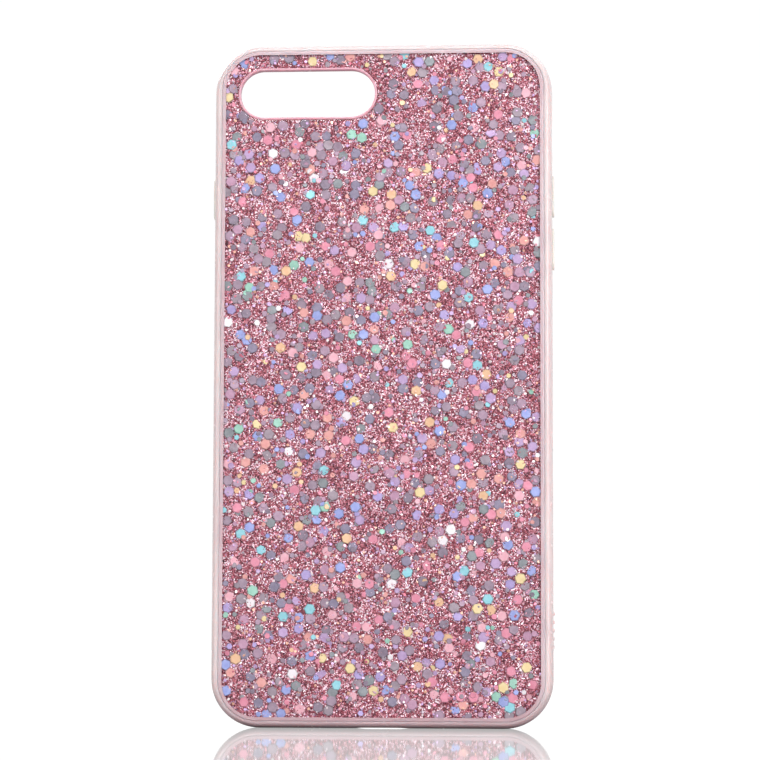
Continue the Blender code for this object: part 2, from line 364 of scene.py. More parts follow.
def rounded_outline(half_u, half_v, radius, straight_u, straight_v, corner_steps):
    """An anticlockwise outline, with each straight side cut into the given number of steps."""
    points = []
    for quarter, (side_u, side_v) in enumerate(((1, 1), (-1, 1), (-1, -1), (1, -1))):
        centre = Vector((side_u * (half_u - radius), side_v * (half_v - radius)))
        for step in range(corner_steps + 1):
            angle = math.pi / 2 * (quarter + step / corner_steps)
            points.append(centre + radius * Vector((math.cos(angle), math.sin(angle))))
        along_u = quarter % 2 == 0
        steps = straight_u if along_u else straight_v
        run = 2 * (half_u - radius if along_u else half_v - radius)
        way = Vector((-side_u, 0)) if along_u else Vector((0, -side_v))
        last = points[-1]
        points += [last + way * run * step / steps for step in range(1, steps)]
    return points


def facing_back(u, v, w):
    return Vector((u, w, v))


def facing_side(u, v, w):
    return Vector((w, u, v))


def facing_down(u, v, w):
    return Vector((u, v, -w))


def loft(name, sections, facing, centre, ring=False, corner_steps=CORNER_STEPS, step=STRAIGHT_STEP):
    """A mesh through sections of (half_u, half_v, radius, w), a closed ring or a capped solid."""
    straight_u = max(1, round(2 * (sections[0][0] - sections[0][2]) / step))
    straight_v = max(1, round(2 * (sections[0][1] - sections[0][2]) / step))
    shape = bmesh.new()
    loops = []
    for half_u, half_v, radius, w in sections:
        outline = rounded_outline(half_u, half_v, radius, straight_u, straight_v, corner_steps)
        loops.append([shape.verts.new(facing(*point, w) + Vector(centre)) for point in outline])
    pairs = list(zip(loops, loops[1:]))
    if ring:
        pairs.append((loops[-1], loops[0]))
    else:
        shape.faces.new(loops[0])
        shape.faces.new(loops[-1])
    for near, far in pairs:
        for i in range(len(near)):
            shape.faces.new((near[i - 1], near[i], far[i], far[i - 1]))
    bmesh.ops.remove_doubles(shape, verts=shape.verts, dist=0.0005 * MM)
    bmesh.ops.recalc_face_normals(shape, faces=shape.faces)
    mesh = bpy.data.meshes.new(name)
    shape.to_mesh(mesh)
    shape.free()
    return mesh


def add_piece(name, mesh, finish=None):
    piece = bpy.data.objects.new(name, mesh)
    bpy.context.scene.collection.objects.link(piece)
    if finish:
        mesh.materials.append(finish)
    return piece


def smooth(piece):
    piece.data.shade_smooth()
    piece.data.set_sharp_from_angle(angle=SHARP)
    return piece


def carve(piece, tools):
    """Cuts or joins each (mesh, operation) into the piece and keeps the result as its plain mesh."""
    helpers = []
    for number, (mesh, operation) in enumerate(tools):
        helper = add_piece(f"tool_{number}", mesh)
        modifier = piece.modifiers.new(f"tool {number}", "BOOLEAN")
        modifier.operation = operation
        modifier.solver = "EXACT"
        modifier.object = helper
        helpers.append(helper)
    keep_result(piece)
    for helper in helpers:
        bpy.data.objects.remove(helper)


def keep_result(piece):
    """Turns what the piece's modifiers make into its own mesh, and removes them."""
    bpy.context.view_layer.update()
    evaluated = piece.evaluated_get(bpy.context.evaluated_depsgraph_get())
    made = bpy.data.meshes.new_from_object(evaluated)
    piece.modifiers.clear()
    piece.data = made


def finish_piece(piece, body, slot, replaces=()):
    """Every piece ends the same way: riding on a body and hiding what it stands for. The slot is not used.
    """
    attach(piece, body)
    for node in replaces:
        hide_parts(node)
    print(piece.name, "has", len(piece.data.polygons), "faces")


# %% [markdown]
# ## The soft plastic
# The frame is moulded from a soft, slightly milky plastic with a blush tint. Light goes into it, scatters
# and comes out elsewhere, so its edges glow and nothing behind it shows. Subsurface scattering does that.
# Moulded soft plastic also has a faint orange-peel surface and some clouding, both far too fine to model,
# so noise on the object's own coordinates makes them. A deeper mauve is painted in over the lowest nine
# millimetres: painted shade, for the underside that faces the floor and gets little light.

# %% Soft plastic
PER_MM = 1 / MM
LOW_SHADE_HEIGHT = 9.0 * MM


def cloud(tree, cells_per_mm, detail=2.0):
    """Smooth noise from 0 to 1, of the given number of cells in a millimetre."""
    place = tree.add("ShaderNodeTexCoord", output="Object")
    return tree.add("ShaderNodeTexNoise", inputs={
        "Vector": place, "Scale": cells_per_mm * PER_MM, "Detail": detail,
    }, output="Fac")


def soft_plastic(name, pale, deep, low_shade_tint=None):
    """Pale and deep are the tints that the clouding runs between; the low shade tint is painted shade low
    down.
    """
    finish, tree = new_finish(name)
    tint = tree.add("ShaderNodeValToRGB", {"stops": [(0.3, deep), (0.7, pale)]}, {0: cloud(tree, 0.12)})
    # Painted shade: a darker tint fades in towards the bottom, where the floor leaves the frame in shade.
    if low_shade_tint:
        place = tree.add("ShaderNodeTexCoord", output="Object")
        height = tree.add("ShaderNodeSeparateXYZ", inputs={0: place}, output="Z")
        low_shade_share = tree.add("ShaderNodeMapRange", inputs={
            "Value": height, "From Min": LOW_SHADE_HEIGHT, "From Max": 0.0,
        })
        tint = tree.add("ShaderNodeMix", {"data_type": "RGBA"}, {0: low_shade_share, 6: tint, 7: low_shade_tint}, output=2)
    peel = tree.add("ShaderNodeBump", inputs={
        "Strength": 0.06, "Distance": 0.02 * MM, "Height": cloud(tree, 2.5),
    })
    show(tree, tree.add("ShaderNodeBsdfPrincipled", inputs={
        "Base Color": tint,
        "Roughness": 0.22 + 0.08 * cloud(tree, 0.6),
        "Normal": peel,
        "IOR": 1.48,
        "Subsurface Weight": 1.0,
        "Subsurface Radius": (1.8 * MM, 1.3 * MM, 1.2 * MM),
        "Subsurface Scale": 1.0,
    }))
    return finish


# The blush's third tint is painted shade for the frame's low end.
blush = soft_plastic("blush soft plastic", paint(226, 206, 206), paint(217, 196, 198),
                     low_shade_tint=paint(192, 162, 168))
pale_soft = soft_plastic("pale soft plastic", paint(226, 220, 212), paint(218, 210, 204))
# Painted light: the collar's rose tint stands in for the glitter's rose light cast on it.
soft_with_painted_glitter_light = soft_plastic("rose soft plastic", paint(222, 172, 184), paint(208, 150, 166))

# %% [markdown]
# ## The frame
# The frame is one soft moulding that runs all the way round: a rounded wall, a thin border behind that
# the glitter panel sits in, and a lip in front that holds the phone. Its wall has the same section
# everywhere, so it is a closed ring of outlines. Quarter ellipses give the roundings.

# %% Frame
REAR_ROUNDING = (1.3 * MM, 4.2 * MM)
FRONT_ROUNDING = (1.6 * MM, 3.1 * MM)
LIP_CLEARANCE = 0.05 * MM
LIP_OVERHANG = 1.0 * MM
LIP_SOFTENING = 0.3 * MM
LIP_STEPS = 4
GLASS_EDGE = (0.9 * MM, 2.0 * MM)
PHONE_BACK_EDGE = (1.5 * MM, 1.9 * MM)
FILLET_HEEL = 0.15 * MM
BORDER_STEP = 0.12 * MM
RIM_OVERLAP = 0.6 * MM
BOND_LINE = 0.03 * MM
TONGUE = 0.5 * MM


def outside(inset, y):
    return HALF_WIDTH - inset, HALF_HEIGHT - inset, OUTER_CORNER - inset, y


def panel(inset, y):
    return PANEL_HALF_WIDTH - inset, PANEL_HALF_HEIGHT - inset, PANEL_CORNER - inset, y


def bay(inset, y):
    return HALF_WIDTH - SIDE_WALL - inset, HALF_HEIGHT - END_WALL - inset, PHONE_CORNER - inset, y


def rounding(outline, size, steps, band_y, towards):
    """Sections along a quarter ellipse, from a flat band at band_y towards the front (1) or back (-1)."""
    reach_in, reach_deep = size
    for step in range(steps + 1):
        angle = math.pi / 2 * step / steps
        yield outline(reach_in * (1 - math.cos(angle)), band_y + towards * reach_deep * math.sin(angle))


def frame_sections():
    window = -PANEL_GAP
    lip_under = PHONE_BACK + PHONE_DEPTH + LIP_CLEARANCE
    groove_back = PLATE_LOW.y - BOND_LINE
    groove_front = PLATE_LOW.y + TONGUE + BOND_LINE
    groove_depth = window - RIM_OVERLAP - BOND_LINE
    heel = PHONE_BACK + FILLET_HEEL
    rear = list(rounding(outside, REAR_ROUNDING, 12, BORDER_BACK + REAR_ROUNDING[1], -1))
    front = list(rounding(outside, FRONT_ROUNDING, 10, FRONT - FRONT_ROUNDING[1], 1))
    glass = list(rounding(bay, GLASS_EDGE, 5, lip_under - GLASS_EDGE[1], 1))
    phone_back_edge = list(rounding(bay, PHONE_BACK_EDGE, 6, heel + PHONE_BACK_EDGE[1], -1))
    softened_lip = [
        bay(LIP_OVERHANG - LIP_SOFTENING * math.cos(math.pi / 2 * step / LIP_STEPS),
            FRONT - LIP_SOFTENING * (1 - math.sin(math.pi / 2 * (LIP_STEPS - step) / LIP_STEPS)))
        for step in range(LIP_STEPS + 1)
    ]
    return [
        panel(window, groove_back),
        panel(window, BORDER_BACK + BORDER_STEP),
        panel(window - BORDER_STEP * 0.3, BORDER_BACK + BORDER_STEP * 0.3),
        panel(window - BORDER_STEP, BORDER_BACK),
        *reversed(rear),
        *front,
        *softened_lip,
        bay(LIP_OVERHANG, lip_under),
        *reversed(glass),
        *phone_back_edge,
        bay(PHONE_BACK_EDGE[0], groove_front),
        panel(groove_depth, groove_front),
        panel(groove_depth, groove_back),
    ]


# %% [markdown]
# ## The frame's openings
# Switches, the charging plug and the loudspeakers need ways through the wall. Each is cut by a solid whose
# outer end flares out along a curve, which leaves the soft, funnel-shaped edge of a moulded opening.

# %% Cutters for the openings
BEYOND = 3.0 * MM
MUTE_Z = 139.5 * MM
MUTE_OPENING = (3.8 * MM, 2.3 * MM, 1.6 * MM, 0.7 * MM)
PORT_OPENING = (6.4 * MM, 2.9 * MM, 2.9 * MM, 1.0 * MM)
SOUND_OPENING = (7.2 * MM, 1.7 * MM, 1.7 * MM, 0.5 * MM)
SOUND_X = 19.6 * MM
SLOT_GAP = 0.5 * MM
SLOT_FLARE = 0.15 * MM
FLARE_STEPS = 6
BUTTONS = {"volume_up": 1, "volume_down": 1, "power": -1}


def flared_cutter(opening, facing, centre, outer, towards=1):
    """A cutter whose end flares along a quarter circle as it nears the wall's outer face."""
    half_u, half_v, radius, flare = opening
    sections = [(half_u, half_v, radius, outer - towards * 2 * BEYOND)]
    for step in range(FLARE_STEPS + 1):
        angle = math.pi / 2 * step / FLARE_STEPS
        grow = flare * (1 - math.cos(angle))
        depth = outer - towards * flare * (1 - math.sin(angle))
        sections.append((half_u + grow, half_v + grow, radius + grow, depth))
    sections.append((*sections[-1][:3], outer + towards * BEYOND))
    return loft("cutter", sections, facing, centre, **FINE)


def upright(opening):
    """The same opening with its length along Z."""
    half_length, half_width, radius, flare = opening
    return half_width, half_length, radius, flare


def frame_cutters():
    at_switch = Vector((0, MIDDLE_DEPTH, MUTE_Z))
    yield flared_cutter(upright(MUTE_OPENING), facing_side, at_switch, HALF_WIDTH)
    yield flared_cutter(PORT_OPENING, facing_down, (0, MIDDLE_DEPTH, 0), 0)
    for side in (-1, 1):
        yield flared_cutter(SOUND_OPENING, facing_down, (side * SOUND_X, MIDDLE_DEPTH, 0), 0)
    for button, side in BUTTONS.items():
        low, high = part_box(f"{button}_button")
        half_width = (high.y - low.y) / 2 + SLOT_GAP
        half_length = (high.z - low.z) / 2 + SLOT_GAP
        middle = Vector((0, (low.y + high.y) / 2, (low.z + high.z) / 2))
        opening = (half_width, half_length, half_width * ALMOST_ROUND, SLOT_FLARE)
        yield flared_cutter(opening, facing_side, middle, side * HALF_WIDTH, side)


# %% [markdown]
# ## Grip ribs
# Low on the right side are five short raised ribs. They are part of the moulding, so they are joined to
# the frame with a Boolean union, and their roots reach well into the wall so that the join is clean.

# %% Ribs and the finished frame
RIB_COUNT = 5
RIB_LOWEST_Z = 19.0 * MM
RIB_PITCH = 1.93 * MM
RIB_HALF_LENGTH = 1.9 * MM
RIB_HALF_WIDTH = 0.5 * MM
RIB_PROUD = 0.32 * MM
RIB_ROOT = 0.6 * MM
RIB_STEPS = 5
RIB_CREST = math.pi / 2 * 0.9
RIB_END = 0.98


def grip_rib(z):
    def rib_at(inset, x):
        return RIB_HALF_LENGTH - inset, RIB_HALF_WIDTH - inset, (RIB_HALF_WIDTH - inset) * RIB_END, x

    sections = [rib_at(0, HALF_WIDTH - RIB_ROOT)]
    for step in range(RIB_STEPS + 1):
        angle = RIB_CREST * step / RIB_STEPS
        sections.append(rib_at(RIB_HALF_WIDTH * (1 - math.cos(angle)),
                               HALF_WIDTH + RIB_PROUD * math.sin(angle)))
    return loft("rib", sections, facing_side, (0, MIDDLE_DEPTH, z), corner_steps=5, step=1.0 * MM)


def make_frame():
    mesh = loft("soft_frame", frame_sections(), facing_back, (0, 0, HALF_HEIGHT), ring=True)
    piece = add_piece("soft_frame", mesh, blush)
    tools = [(cutter, "DIFFERENCE") for cutter in frame_cutters()]
    tools += [(grip_rib(RIB_LOWEST_Z + number * RIB_PITCH), "UNION") for number in range(RIB_COUNT)]
    carve(piece, tools)
    smooth(piece)
    finish_piece(piece, "bumper", "soft_bumper", ["bumper_frame"])


make_frame()

# %% [markdown]
# ## The clear coat
# Clear resin is poured over the glitter and pulls itself into a rounded edge. Thin clear resin over a
# layer doesn't bend the view much, so the surface is mostly see-through, with a mirror that grows from 3.5
# hundredths head-on to everything edge-on. A Fresnel node would also shut in light that leaves the resin at
# a slant, because nothing here bends it, so Schlick's fifth power of the facing angle does its job. The
# rounded edge is thick and partly milky, and its band of faces has a finish of its own: a pale milky blush
# that is also a painted highlight for the light the rounded edge catches, with painted shade low down. It
# spreads far enough to close the hairline seam to the frame. The resin rounds over at the camera window
# too, so the window's cutter flares out along a quarter ellipse.

# %% Clear coat
EDGE_BAND = 0.85 * MM
EDGE_ROUNDING = 0.32 * MM
EDGE_STEPS = 6
COAT_SPREAD = 0.09 * MM
WINDOW_SHOULDER = (0.5 * MM, 0.28 * MM)
WINDOW_CLEARANCE = 0.02 * MM
HEAD_ON_GLOSS = 0.035


def clear_resin(name, tint, roughness):
    finish, tree = new_finish(name)
    smears = roughness + 0.05 * cloud(tree, 0.08)
    mirror = tree.add("ShaderNodeBsdfGlossy", inputs={"Color": WHITE, "Roughness": smears})
    through = tree.add("ShaderNodeBsdfTransparent", inputs={"Color": tint})
    turned = tree.add("ShaderNodeLayerWeight", inputs={"Blend": 0.5}, output="Facing")
    gloss = HEAD_ON_GLOSS + (1 - HEAD_ON_GLOSS) * turned ** 5
    show(tree, tree.add("ShaderNodeMixShader", inputs={0: gloss, 1: through, 2: mirror}))
    return finish


resin = clear_resin("clear resin", (0.99, 0.98, 0.98, 1), 0.03)
# Partly painted highlight: the pale milky edge stands in for the light its rounding catches, and its low
# end gets the painted low shade.
resin_edge_painted_highlight = soft_plastic("milky resin edge", paint(214, 190, 195), paint(205, 176, 183),
                          low_shade_tint=paint(190, 160, 167))


def window_cutter():
    """A cutter that flares at the coat's back face, which leaves the window a rounded shoulder."""
    middle = (COLLAR_LOW + COLLAR_HIGH) / 2
    half_length = (COLLAR_HIGH.x - COLLAR_LOW.x) / 2 + WINDOW_CLEARANCE
    half_height = (COLLAR_HIGH.z - COLLAR_LOW.z) / 2 + WINDOW_CLEARANCE

    def window_at(grow, y):
        return half_length + grow, half_height + grow, (half_height + grow) * ALMOST_ROUND, y

    sections = [window_at(0, COAT_HIGH.y + BEYOND)]
    for step in range(EDGE_STEPS + 1):
        angle = math.pi / 2 * step / EDGE_STEPS
        sections.append(window_at(WINDOW_SHOULDER[0] * (1 - math.cos(angle)),
                                  COAT_LOW.y + WINDOW_SHOULDER[1] * (1 - math.sin(angle))))
    sections.append((*sections[-1][:3], COAT_LOW.y - BEYOND))
    return loft("window", sections, facing_back, (middle.x, 0, middle.z))


def make_coat():
    back = COAT_LOW.y
    sections = [panel(-COAT_SPREAD, COAT_HIGH.y)]
    for step in range(EDGE_STEPS + 1):
        angle = math.pi / 2 * step / EDGE_STEPS
        sections.append(panel(EDGE_ROUNDING * (1 - math.cos(angle)) - COAT_SPREAD,
                              back + EDGE_ROUNDING * (1 - math.sin(angle))))
    sections.append(panel(EDGE_BAND, back))
    piece = add_piece("resin_coat", loft("resin_coat", sections, facing_back, (0, 0, HALF_HEIGHT)), resin)
    piece.data.materials.append(resin_edge_painted_highlight)
    # The four-sided faces of the edge band get the milky edge with its painted highlight.
    for face in piece.data.polygons:
        face.material_index = int(len(face.vertices) == 4)
    carve(piece, [(window_cutter(), "DIFFERENCE")])
    smooth(piece)
    finish_piece(piece, "bumper", "clear_coat", ["clear_coat"])


make_coat()

# %% [markdown]
# ## The camera collar
# The soft plastic lines the camera window through every layer of the back. It is a thin sleeve with a
# rounded lip. Its rose tint is painted light: it stands in for the rose light that the glitter around it
# casts on it.

# %% Camera collar
COLLAR_WALL = 0.55 * MM
COLLAR_STEPS = 8


def make_collar():
    middle = (COLLAR_LOW + COLLAR_HIGH) / 2
    outer_u = (COLLAR_HIGH.x - COLLAR_LOW.x) / 2
    outer_v = (COLLAR_HIGH.z - COLLAR_LOW.z) / 2
    half_wall = COLLAR_WALL / 2

    def ring_at(inset, y):
        return outer_u - inset, outer_v - inset, (outer_v - inset) * ALMOST_ROUND, y

    sections = [ring_at(0, COLLAR_HIGH.y)]
    for step in range(COLLAR_STEPS + 1):
        angle = math.pi * step / COLLAR_STEPS
        sections.append(ring_at(half_wall * (1 - math.cos(angle)),
                                COLLAR_LOW.y + half_wall * (1 - math.sin(angle))))
    sections.append(ring_at(COLLAR_WALL, COLLAR_HIGH.y))
    mesh = loft("window_collar", sections, facing_back, (middle.x, 0, middle.z), ring=True)
    piece = smooth(add_piece("window_collar", mesh, soft_with_painted_glitter_light))
    finish_piece(piece, "bumper", "soft_bumper", ["camera_collar"])


make_collar()

# %% [markdown]
# ## The buttons
# Each button is a raised pad that slides in a slot of the wall. A thin soft skin joins it to the wall; on
# the real case it stretches as the button is pressed, here it is a fixed ring. The pad is a loft with a
# domed face.

# %% Button pads and their skins
PAD_DOME = 0.28 * MM
DOME_STEPS = 6
PAD_BACK_EDGE = 0.12 * MM
SKIN_THICKNESS = 0.22 * MM
SKIN_OVERLAP = 0.04 * MM


def make_button(button, side):
    low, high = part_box(f"{button}_button")
    middle = Vector((0, (low.y + high.y) / 2, (low.z + high.z) / 2))
    half_width, half_length = (high.y - low.y) / 2, (high.z - low.z) / 2
    inner, outer = (low.x, high.x) if side > 0 else (high.x, low.x)

    def pad_at(inset, x):
        return half_width - inset, half_length - inset, (half_width - inset) * ALMOST_ROUND, x

    sections = [pad_at(PAD_BACK_EDGE, inner), pad_at(0, inner + side * PAD_BACK_EDGE)]
    for step in range(DOME_STEPS + 1):
        angle = math.pi / 2 * step / DOME_STEPS
        sections.append(pad_at(PAD_DOME * (1 - math.cos(angle)),
                               outer - side * PAD_DOME * (1 - math.sin(angle))))
    mesh = loft(f"{button}_pad", sections, facing_side, middle, **FINE)
    pad = smooth(add_piece(f"{button}_pad", mesh, pale_soft))
    finish_piece(pad, button, "soft_button", [f"{button}_button"])

    web_low, web_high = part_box(f"{button}_web")
    wall_x, pad_x = (web_low.x, web_high.x) if side > 0 else (web_high.x, web_low.x)
    thick = side * SKIN_THICKNESS
    near, far = SKIN_OVERLAP, -(SLOT_GAP + SKIN_OVERLAP)
    sections = [
        pad_at(near, pad_x),
        pad_at(far, wall_x),
        pad_at(far, wall_x + thick),
        pad_at(near, pad_x + thick),
    ]
    mesh = loft(f"{button}_skin", sections, facing_side, middle, ring=True, **FINE)
    skin = smooth(add_piece(f"{button}_skin", mesh, pale_soft))
    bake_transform(skin)
    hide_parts(f"{button}_web")


for button, side in BUTTONS.items():
    make_button(button, side)

# %% [markdown]
# ## The hidden layers
# Behind the glitter are a rose foil, a bonding film and the hard clear plate that the phone lies against.
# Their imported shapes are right, so they only need finishes. The foil is brushed metal seen through the
# plate from inside, and the plate and film are clear.


# %% Finishes for the plate, film and foil
def rose_metal():
    finish, tree = new_finish("rose foil")
    place = tree.add("ShaderNodeTexCoord", output="Object")
    streaks = tree.add("ShaderNodeMapping", inputs={
        "Vector": place, "Scale": (4 * PER_MM, 1, 0.05 * PER_MM),
    })
    brushed = tree.add("ShaderNodeTexNoise", inputs={
        "Vector": streaks, "Scale": 1.0, "Detail": 3.0,
    }, output="Fac")
    tint = tree.add("ShaderNodeValToRGB", {
        "stops": [(0.3, paint(200, 124, 136)), (0.7, paint(230, 166, 174))],
    }, {0: brushed})
    show(tree, tree.add("ShaderNodeBsdfPrincipled", inputs={
        "Base Color": tint, "Metallic": 0.6, "Roughness": 0.32 + 0.12 * brushed,
    }))
    return finish


def dress(node, finish):
    """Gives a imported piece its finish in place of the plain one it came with."""
    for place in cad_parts[node].material_slots:
        place.material = finish


dress("rose_foil", rose_metal())
dress("bonding_film", clear_resin("bonding film", (0.97, 0.94, 0.94, 1), 0.25))
dress("back_plate", clear_resin("clear hard plate", (0.98, 0.95, 0.95, 1), 0.05))

# %% [markdown]
# ## Growing a piece from its nodes
# What repeats by the thousand, such as dots and flakes, is a job for Geometry Nodes. One helper starts a
# tree with named inputs. The other runs a tree on a piece and keeps the mesh, because a plain mesh is what
# gets handed on. A modifier knows its inputs by their identifiers and not by their names.


# %% Start a Geometry Nodes tree and run it
def new_nodes(name, values):
    """An empty Geometry Nodes tree with a geometry in and out and the named number inputs."""
    group = bpy.data.node_groups.new(name, "GeometryNodeTree")
    group.interface.new_socket("Geometry", in_out="INPUT", socket_type="NodeSocketGeometry")
    group.interface.new_socket("Geometry", in_out="OUTPUT", socket_type="NodeSocketGeometry")
    for label, value in values.items():
        kind = "NodeSocketInt" if isinstance(value, int) else "NodeSocketFloat"
        group.interface.new_socket(label, in_out="INPUT", socket_type=kind)
    tree = Tree(group)
    return group, tree, tree.add("NodeGroupInput")


def grow(piece, group, values):
    """Runs a Geometry Nodes tree on the piece with these input values, and keeps the mesh it makes."""
    modifier = piece.modifiers.new(group.name, "NODES")
    modifier.node_group = group
    for socket in group.interface.items_tree:
        if socket.in_out == "INPUT" and socket.name in values:
            modifier[socket.identifier] = values[socket.name]
    keep_result(piece)


# %% [markdown]
# ## A flat region of the panel
# Dots and glitter both lie on a flat face that stops short of the panel's rounded edge and of the camera
# window. Filling between two closed outlines gives that face with its hole.


# %% Flat region with the window left out
def region(name, inset, window_margin, y, towards_back=True):
    middle = (COLLAR_LOW + COLLAR_HIGH) / 2
    half_u = (COLLAR_HIGH.x - COLLAR_LOW.x) / 2 + window_margin
    half_v = (COLLAR_HIGH.z - COLLAR_LOW.z) / 2 + window_margin
    half_width, half_height, radius, _ = panel(inset, y)
    edge = rounded_outline(half_width, half_height, radius, 30, 60, 12)
    window = rounded_outline(half_u, half_v, half_v * ALMOST_ROUND, 12, 1, 12)
    outlines = (
        (edge, Vector((0, 0, HALF_HEIGHT))),
        (window, Vector((middle.x, 0, middle.z))),
    )
    shape = bmesh.new()
    for outline, centre in outlines:
        loop = [shape.verts.new(facing_back(*point, y) + centre) for point in outline]
        for i in range(len(loop)):
            shape.edges.new((loop[i - 1], loop[i]))
    bmesh.ops.triangle_fill(shape, use_beauty=True, edges=shape.edges)
    for face in shape.faces:
        face.normal_update()
        if (face.normal.y < 0) != towards_back:
            face.normal_flip()
    mesh = bpy.data.meshes.new(name)
    shape.to_mesh(mesh)
    shape.free()
    return add_piece(name, mesh)


# %% [markdown]
# ## Grip dots inside
# Clear plates carry a fine grid of moulded dots on the inside, which keep the phone's back from sticking
# to them and showing wet patches. A grid of points gets one small cone on each. Only the points that lie on
# the flat region are kept, which leaves the camera window and the rounded corners free.

# %% Grip dots
DOT_PITCH = 2.4 * MM
DOT_COLUMNS = 30
DOT_ROWS = 64
DOT_RADIUS = 0.3 * MM
DOT_TOP = 0.6
DOT_HEIGHT = 0.07 * MM
DOT_MARGIN = 1.2 * MM
ON_THE_REGION = 0.01 * MM


def dot_nodes():
    group, tree, given = new_nodes("grip dots", {"Radius": 0.0, "Height": 0.0})
    finish = plain_finish("grip dot", (232, 206, 212), 0.0, 0.25)
    grid = tree.add("GeometryNodeMeshGrid", inputs={
        "Size X": DOT_COLUMNS * DOT_PITCH, "Size Y": DOT_ROWS * DOT_PITCH,
        "Vertices X": DOT_COLUMNS + 1, "Vertices Y": DOT_ROWS + 1,
    })
    upright_grid = tree.add("GeometryNodeTransform", inputs={
        "Geometry": grid, "Translation": (0, PHONE_BACK, HALF_HEIGHT), "Rotation": (math.pi / 2, 0, 0),
    })
    away = tree.add("GeometryNodeProximity", {"target_element": "FACES"}, {
        0: given.of("Geometry"),
    }, output="Distance")
    dot = tree.add("GeometryNodeMeshCone", {"fill_type": "NGON"}, {
        "Vertices": 6, "Radius Top": given.of("Radius") * DOT_TOP, "Radius Bottom": given.of("Radius"),
        "Depth": given.of("Height"),
    })
    placed = tree.add("GeometryNodeInstanceOnPoints", inputs={
        "Points": upright_grid, "Selection": away < ON_THE_REGION, "Instance": dot,
        "Rotation": (-math.pi / 2, 0, 0),
    })
    solid = tree.add("GeometryNodeRealizeInstances", inputs={0: placed})
    dressed = tree.add("GeometryNodeSetMaterial", inputs={"Geometry": solid, "Material": finish})
    tree.add("NodeGroupOutput", inputs={0: dressed})
    return group


def make_dots():
    piece = region("grip_dots", DOT_MARGIN, DOT_MARGIN, PHONE_BACK, towards_back=False)
    grow(piece, dot_nodes(), {"Radius": DOT_RADIUS, "Height": DOT_HEIGHT})
    finish_piece(piece, "bumper", "clear_plate")


make_dots()

# %% [markdown]
# ## The glitter bed
# Between the sequins lies fine rose glitter: countless chips about 0.3 mm across, each one colour and each
# lying at its own angle. A cell pattern gives every chip its own random numbers. One picks its colour from
# a ramp, and all three tilt its normal, so that neighbouring chips catch different light. The ramp's
# darkest maroon and near-white ends are partly real chip colours and partly painted: painted shade for the
# gaps between chips and painted glints.
# Glitter clumps as it settles, so broad noise shifts the ramp and makes paler and deeper patches.

# %% Glitter bed
CHIPS_PER_MM = 3.6
CHIP_TILT = 0.8
CLUMPING = 0.6


def chip_tilt(tree, random, strength):
    """The surface's normal, leaning by a random amount for each chip."""
    upright_normal = tree.add("ShaderNodeNewGeometry", output="Normal")
    lean = tree.add("ShaderNodeVectorMath", {"operation": "SUBTRACT"}, {0: random, 1: (0.5, 0.5, 0.5)})
    lean = tree.add("ShaderNodeVectorMath", {"operation": "SCALE"}, {0: lean, "Scale": strength})
    leaning = tree.add("ShaderNodeVectorMath", {"operation": "ADD"}, {0: upright_normal, 1: lean})
    return tree.add("ShaderNodeVectorMath", {"operation": "NORMALIZE"}, {0: leaning})


def fine_glitter():
    finish, tree = new_finish("fine rose glitter")
    place = tree.add("ShaderNodeTexCoord", output="Object")
    chips = tree.add("ShaderNodeTexVoronoi", {"voronoi_dimensions": "3D"}, {
        "Vector": place, "Scale": CHIPS_PER_MM * PER_MM,
    }, output="Color")
    parts = tree.add("ShaderNodeSeparateColor", inputs={0: chips})
    # The maroon and near-white ends of this ramp are partly painted shade and painted glints.
    colour = tree.add("ShaderNodeValToRGB", {"interpolation": "CONSTANT", "stops": [
        (0.0, paint(88, 32, 52)),
        (0.15, paint(134, 50, 72)),
        (0.34, paint(162, 72, 88)),
        (0.53, paint(186, 102, 118)),
        (0.69, paint(210, 144, 162)),
        (0.81, paint(234, 194, 210)),
        (0.91, paint(254, 238, 248)),
    ]}, {0: parts + CLUMPING * (cloud(tree, 0.35) - 0.5)})
    show(tree, tree.add("ShaderNodeBsdfPrincipled", inputs={
        "Base Color": colour,
        "Metallic": 0.3,
        "Roughness": 0.2 + 0.3 * parts.of("Green"),
        "Normal": chip_tilt(tree, chips, CHIP_TILT),
    }))
    return finish


dress("glitter_bed", fine_glitter())

# %% [markdown]
# ## Flakes and sequins
# On the bed lie loose flakes in two sizes and, over them, sequins: hexagons two and a half millimetres
# across with smaller ones between. They are punched from foil that splits white light, so each has one
# clear colour: many look grey, and the rest are pink, peach, lilac, blue, mint and white. Geometry Nodes
# scatter them: points with a least distance between them, a hexagon on each (a triangle for the smallest
# flakes), a random turn and a slight random tilt. Punching bends the rim back, so each one is a thin closed
# prism with sloping sides. The rim catches other light than the face does, and an attribute marks it, so
# that painted shade can darken the foil there: it stands in for the shadow gaps round each sequin.

# %% Scatter tree
FOIL_THICKNESS = 0.05 * MM
FOIL_FACE = 0.84
CLUMPS_PER_MM = 0.35
FULL_TURN = 2 * math.pi


